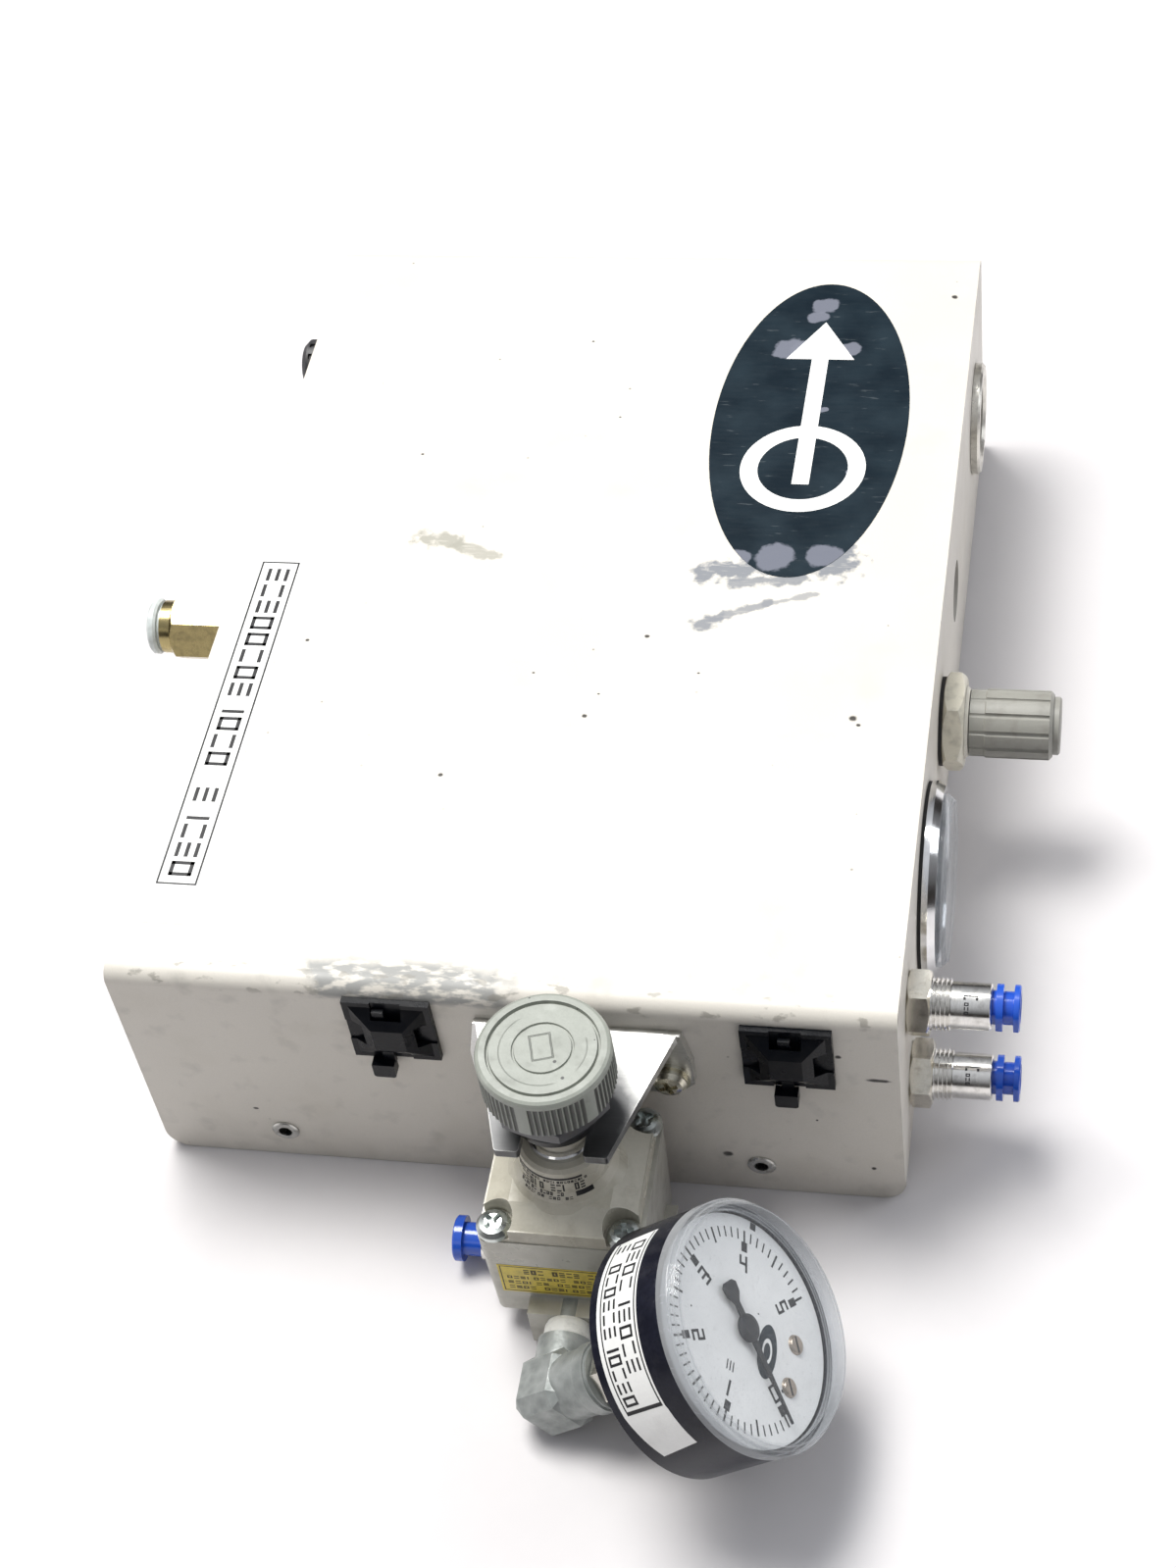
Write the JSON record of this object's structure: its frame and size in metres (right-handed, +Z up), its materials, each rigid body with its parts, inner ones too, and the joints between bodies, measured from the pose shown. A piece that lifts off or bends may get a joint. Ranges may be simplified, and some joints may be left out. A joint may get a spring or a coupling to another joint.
{
  "type": "air pressure regulator controller",
  "caption": "Sheet-metal pneumatic controller box with a panel regulator and gauge on one side and a bracket-mounted precision air regulator with dial gauge in front.",
  "frame": {"origin": "centre of the enclosure's underside, on the surface it stands on", "axes": "+X towards the panel gauge and knob (right), +Y towards the rear wall, +Z up; the precision regulator hangs in front at -Y"},
  "size_m": [0.2359, 0.3475, 0.085],
  "materials": {
    "cream_paint": "textured semi-gloss",
    "cream_paint_base": "textured semi-gloss",
    "zinc_bright": "plated",
    "zinc_screws": "plated",
    "black_nylon": "gloss",
    "black_nylon_tie": "satin",
    "bracket_zinc": "plated",
    "zinc_yellow": "plated",
    "zinc_nut": "plated",
    "connector_nickel": "plated",
    "connector_black": "satin",
    "silencer_black": "satin",
    "brass": "machined",
    "brass_nut": "machined",
    "collar_grey": "gloss",
    "nickel": "plated",
    "nickel_lower": "plated",
    "nickel_nuts": "plated",
    "collar_blue": "gloss",
    "collar_blue_lower": "gloss",
    "nickel_inlet": "plated",
    "nickel_outlet": "plated",
    "collar_blue_inlet": "gloss",
    "collar_blue_outlet": "gloss",
    "panel_case_steel": "satin",
    "panel_bezel_chrome": "polished",
    "panel_lens_clear": "clear",
    "panel_dial_white": "printed",
    "panel_needle_black": "matte",
    "gasket_black": "moulded",
    "panel_regulator_zinc": "die cast",
    "panel_bonnet_resin": "satin",
    "panel_nut_resin": "satin",
    "panel_stem_brass": "machined",
    "panel_knob_grey": "satin",
    "valve_aluminium": "anodised",
    "coil_black": "moulded",
    "tube_nylon": "satin",
    "regulator_casting": "painted die cast",
    "bonnet_casting": "painted die cast",
    "bonnet_screw_zinc": "plated",
    "neck_chrome": "polished",
    "ring_nut_black": "black oxide",
    "diaphragm_rubber": "moulded",
    "plug_brass": "machined",
    "knob_grey": "satin",
    "adjuster_steel": "machined",
    "lock_nut_grey": "satin",
    "seat_brass": "machined",
    "spring_steel": "wound",
    "poppet_brass": "machined",
    "elbow_casting": "galvanised",
    "tape_white": "wrapped",
    "gauge_socket_brass": "machined",
    "gauge_case_black": "gloss",
    "gauge_lens_clear": "clear",
    "gauge_dial_white": "printed",
    "needle_black": "matte",
    "bourdon_bronze": "drawn",
    "sector_brass": "stamped"
  },
  "bodies": {
    "enclosure": {"cover": "cream_paint", "chassis": "cream_paint_base", "rivet_nuts": "zinc_bright", "rear_cover_screws": "zinc_screws", "tie_mounts": "black_nylon", "cable_ties": "black_nylon_tie", "mounting_bracket": "bracket_zinc", "bracket_screws": "zinc_yellow", "bracket_nuts": "zinc_nut", "connector_shell": "connector_nickel", "connector_insert": "connector_black", "silencer": "silencer_black", "inlet_fitting": "brass", "inlet_nut": "brass_nut", "bulkhead_upper": "nickel", "bulkhead_lower": "nickel_lower", "bulkhead_nuts": "nickel_nuts", "regulator_inlet_fitting": "nickel_inlet", "regulator_outlet_fitting": "nickel_outlet", "panel_gauge_case": "panel_case_steel", "panel_gauge_bezel": "panel_bezel_chrome", "panel_gauge_lens": "panel_lens_clear", "panel_gauge_dial": "panel_dial_white", "panel_gaskets": "gasket_black", "panel_regulator_body": "panel_regulator_zinc", "panel_regulator_bonnet": "panel_bonnet_resin", "panel_regulator_nut": "panel_nut_resin", "solenoid_valve": "valve_aluminium", "solenoid_coil": "coil_black", "internal_tubes": "tube_nylon", "regulator_body": "regulator_casting", "regulator_bonnet": "bonnet_casting", "bonnet_screws": "bonnet_screw_zinc", "neck_ring": "neck_chrome", "panel_ring_nut": "ring_nut_black", "diaphragm": "diaphragm_rubber", "bottom_plug": "plug_brass", "range_spring": "spring_steel", "elbow": "elbow_casting", "thread_tape": "tape_white", "gauge_socket": "gauge_socket_brass", "gauge_case": "gauge_case_black", "gauge_lens": "gauge_lens_clear", "gauge_dial": "gauge_dial_white", "bourdon_tube": "bourdon_bronze"},
    "inlet_collar": {"inlet_collar": "collar_grey"},
    "bulkhead_collar_upper": {"bulkhead_collar_upper": "collar_blue"},
    "bulkhead_collar_lower": {"bulkhead_collar_lower": "collar_blue_lower"},
    "regulator_inlet_collar": {"regulator_inlet_collar": "collar_blue_inlet"},
    "regulator_outlet_collar": {"regulator_outlet_collar": "collar_blue_outlet"},
    "panel_gauge_needle": {"panel_gauge_needle": "panel_needle_black"},
    "gauge_needle": {"gauge_needle": "needle_black"},
    "gauge_sector": {"gauge_sector": "sector_brass"},
    "spring_seat": {"spring_seat": "seat_brass"},
    "knob": {"knob": "knob_grey", "adjusting_screw": "adjuster_steel"},
    "lock_nut": {"lock_nut": "lock_nut_grey"},
    "poppet": {"poppet": "poppet_brass"},
    "panel_stem": {"panel_stem": "panel_stem_brass"},
    "panel_knob": {"panel_knob": "panel_knob_grey"}
  },
  "joints": [
    {"name": "spring_seat_slide", "type": "slide", "parent": "enclosure", "child": "spring_seat", "axis": [0, 0, 1], "range_m": [-0.003, 0], "deforming": ["range_spring"]},
    {"name": "knob_turn", "type": "hinge", "parent": "spring_seat", "child": "knob", "pos_m": [0.0185, -0.152, 0.079], "axis": [0, 0, -1], "range_deg": [0, 1440]},
    {"name": "lock_nut_turn", "type": "hinge", "parent": "knob", "child": "lock_nut", "pos_m": [0.0185, -0.152, 0.0701], "axis": [0, 0, 1], "range_deg": [0, 180]},
    {"name": "poppet_lift", "type": "slide", "parent": "enclosure", "child": "poppet", "axis": [0, 0, -1], "range_m": [0, 0.001], "stiffness_N_per_m": 800},
    {"name": "gauge_needle_turn", "type": "hinge", "parent": "enclosure", "child": "gauge_needle", "pos_m": [0.06263, -0.1895, 0.04288], "axis": [-0.788, 0, -0.6157], "range_deg": [0, 274]},
    {"name": "gauge_sector_turn", "type": "hinge", "parent": "enclosure", "child": "gauge_sector", "pos_m": [0.06433, -0.1895, 0.02771], "axis": [-0.788, 0, -0.6157], "range_deg": [-30, 0]},
    {"name": "panel_gauge_needle_turn", "type": "hinge", "parent": "enclosure", "child": "panel_gauge_needle", "pos_m": [0.089, -0.0644, 0.038], "axis": [-1, 0, 0], "range_deg": [0, 270]},
    {"name": "panel_stem_turn", "type": "hinge", "parent": "enclosure", "child": "panel_stem", "pos_m": [0.099, -0.016, 0.04], "axis": [-1, 0, 0], "range_deg": [0, 1440]},
    {"name": "panel_knob_pull", "type": "slide", "parent": "panel_stem", "child": "panel_knob", "axis": [1, 0, 0], "range_m": [0, 0.002]},
    {"name": "inlet_collar_press", "type": "slide", "parent": "enclosure", "child": "inlet_collar", "axis": [1, 0, 0], "range_m": [0, 0.0009], "stiffness_N_per_m": 600},
    {"name": "bulkhead_collar_upper_press", "type": "slide", "parent": "enclosure", "child": "bulkhead_collar_upper", "axis": [-1, 0, 0], "range_m": [0, 0.0008], "stiffness_N_per_m": 600},
    {"name": "bulkhead_collar_lower_press", "type": "slide", "parent": "enclosure", "child": "bulkhead_collar_lower", "axis": [-1, 0, 0], "range_m": [0, 0.0008], "stiffness_N_per_m": 600},
    {"name": "regulator_inlet_collar_press", "type": "slide", "parent": "enclosure", "child": "regulator_inlet_collar", "axis": [1, 0, 0], "range_m": [0, 0.0008], "stiffness_N_per_m": 600},
    {"name": "regulator_outlet_collar_press", "type": "slide", "parent": "enclosure", "child": "regulator_outlet_collar", "axis": [-1, 0, 0], "range_m": [0, 0.0008], "stiffness_N_per_m": 600}
  ],
  "couplings": [
    {"joint": "knob_turn", "follows": "spring_seat_slide", "rad_per_m": -8377.6},
    {"joint": "gauge_sector_turn", "follows": "gauge_needle_turn", "ratio": -0.1}
  ]
}
